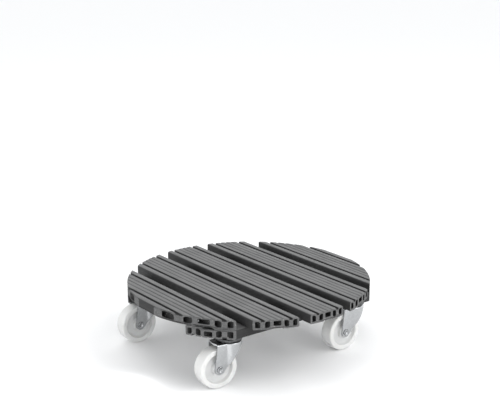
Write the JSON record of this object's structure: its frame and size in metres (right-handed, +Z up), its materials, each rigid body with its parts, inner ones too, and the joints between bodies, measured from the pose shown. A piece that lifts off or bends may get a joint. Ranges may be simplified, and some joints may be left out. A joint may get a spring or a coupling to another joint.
{
  "type": "plant pot caddy",
  "caption": "Round plant pot caddy: grooved hollow boards on cross beams, rolling on swivel casters with recessed white wheels.",
  "frame": {"origin": "on the floor under the deck's centre", "axes": "+X along the boards, towards the front casters; +Y across the boards, from left to right; +Z up"},
  "size_m": [0.38, 0.3772, 0.1077],
  "materials": {
    "board": "brushed, finely ribbed wood-plastic composite",
    "beam": "brushed wood-plastic composite",
    "fastener": "zinc-plated",
    "race": "zinc-plated, pressed",
    "ball": "polished",
    "seal": "moulded",
    "fork": "zinc-plated, pressed",
    "axle": "bright zinc",
    "bush": "plain",
    "wheel": "moulded polyamide, satin"
  },
  "bodies": {
    "deck": {"board_left_outer": "board", "board_left_inner": "board", "board_centre": "board", "board_right_inner": "board", "board_right_outer": "board", "cross_beam_front": "beam", "cross_beam_rear": "beam", "screw_left_outer_front": "fastener", "screw_left_outer_rear": "fastener", "screw_left_inner_front": "fastener", "screw_left_inner_rear": "fastener", "screw_centre_front": "fastener", "screw_centre_rear": "fastener", "screw_right_inner_front": "fastener", "screw_right_inner_rear": "fastener", "screw_right_outer_front": "fastener", "screw_right_outer_rear": "fastener", "mount_bolt_front_left": "fastener", "mount_nut_front_left": "fastener", "upper_race_front_left": "race", "kingpin_front_left": "race", "dust_ring_front_left": "seal", "mount_bolt_front_right": "fastener", "mount_nut_front_right": "fastener", "upper_race_front_right": "race", "kingpin_front_right": "race", "dust_ring_front_right": "seal", "mount_bolt_rear_left": "fastener", "mount_nut_rear_left": "fastener", "upper_race_rear_left": "race", "kingpin_rear_left": "race", "dust_ring_rear_left": "seal", "mount_bolt_rear_right": "fastener", "mount_nut_rear_right": "fastener", "upper_race_rear_right": "race", "kingpin_rear_right": "race", "dust_ring_rear_right": "seal"},
    "caster_front_left": {"fork_front_left": "fork", "axle_front_left": "axle", "bush_front_left": "bush", "ball_cage_front_left": "ball"},
    "rolling_wheel_front_left": {"wheel_front_left": "wheel"},
    "caster_front_right": {"fork_front_right": "fork", "axle_front_right": "axle", "bush_front_right": "bush", "ball_cage_front_right": "ball"},
    "rolling_wheel_front_right": {"wheel_front_right": "wheel"},
    "caster_rear_left": {"fork_rear_left": "fork", "axle_rear_left": "axle", "bush_rear_left": "bush", "ball_cage_rear_left": "ball"},
    "rolling_wheel_rear_left": {"wheel_rear_left": "wheel"},
    "caster_rear_right": {"fork_rear_right": "fork", "axle_rear_right": "axle", "bush_rear_right": "bush", "ball_cage_rear_right": "ball"},
    "rolling_wheel_rear_right": {"wheel_rear_right": "wheel"}
  },
  "joints": [
    {"name": "swivel_front_left", "type": "hinge", "parent": "deck", "child": "caster_front_left", "pos_m": [0.11, -0.1185, 0.0683], "axis": [0, 0, 1], "continuous": true},
    {"name": "roll_front_left", "type": "hinge", "parent": "caster_front_left", "child": "rolling_wheel_front_left", "pos_m": [0.10766, -0.14078, 0.03], "axis": [0.9945, -0.1045, 0], "continuous": true},
    {"name": "swivel_front_right", "type": "hinge", "parent": "deck", "child": "caster_front_right", "pos_m": [0.11, 0.1185, 0.0683], "axis": [0, 0, 1], "continuous": true},
    {"name": "roll_front_right", "type": "hinge", "parent": "caster_front_right", "child": "rolling_wheel_front_right", "pos_m": [0.11, 0.0961, 0.03], "axis": [1, 0, 0], "continuous": true},
    {"name": "swivel_rear_left", "type": "hinge", "parent": "deck", "child": "caster_rear_left", "pos_m": [-0.11, -0.1185, 0.0683], "axis": [0, 0, 1], "continuous": true},
    {"name": "roll_rear_left", "type": "hinge", "parent": "caster_rear_left", "child": "rolling_wheel_rear_left", "pos_m": [-0.11078, -0.14089, 0.03], "axis": [0.9994, -0.0349, 0], "continuous": true},
    {"name": "swivel_rear_right", "type": "hinge", "parent": "deck", "child": "caster_rear_right", "pos_m": [-0.11, 0.1185, 0.0683], "axis": [0, 0, 1], "continuous": true},
    {"name": "roll_rear_right", "type": "hinge", "parent": "caster_rear_right", "child": "rolling_wheel_rear_right", "pos_m": [-0.11117, 0.09613, 0.03], "axis": [0.9986, -0.0523, 0], "continuous": true}
  ]
}
